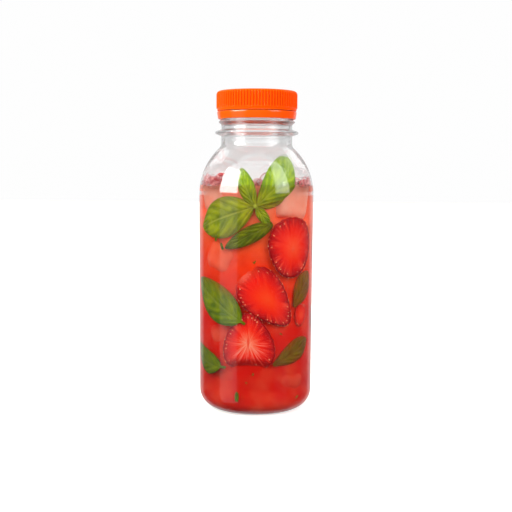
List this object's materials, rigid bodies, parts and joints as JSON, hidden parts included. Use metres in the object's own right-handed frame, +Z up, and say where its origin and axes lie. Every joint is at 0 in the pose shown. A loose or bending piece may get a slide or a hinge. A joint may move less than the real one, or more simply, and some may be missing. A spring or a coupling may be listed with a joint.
{
  "type": "bottle of strawberry basil drink",
  "caption": "Clear plastic bottle with an orange ribbed screw cap, filled with an iced pink drink of strawberry slices and basil leaves.",
  "frame": {"origin": "centre of the ring that the bottle stands on, on the bottle's axis", "axes": "+Z up the bottle to the cap; the side shown in the picture faces -Y; +X to its right"},
  "size_m": [0.0584, 0.0584, 0.1621],
  "materials": {
    "clear_plastic": "clear moulded plastic",
    "orange_plastic": "moulded, satin gloss",
    "drink": "cloudy pink-red drink",
    "basil": "wet leaf",
    "ice": "melting ice in pink drink"
  },
  "bodies": {
    "root": {"bottle": "clear_plastic", "cap": "orange_plastic", "seal_band": "orange_plastic", "drink": "drink", "basil_sprig": "basil", "ice_right": "ice", "ice_left": "ice"}
  },
  "joints": []
}
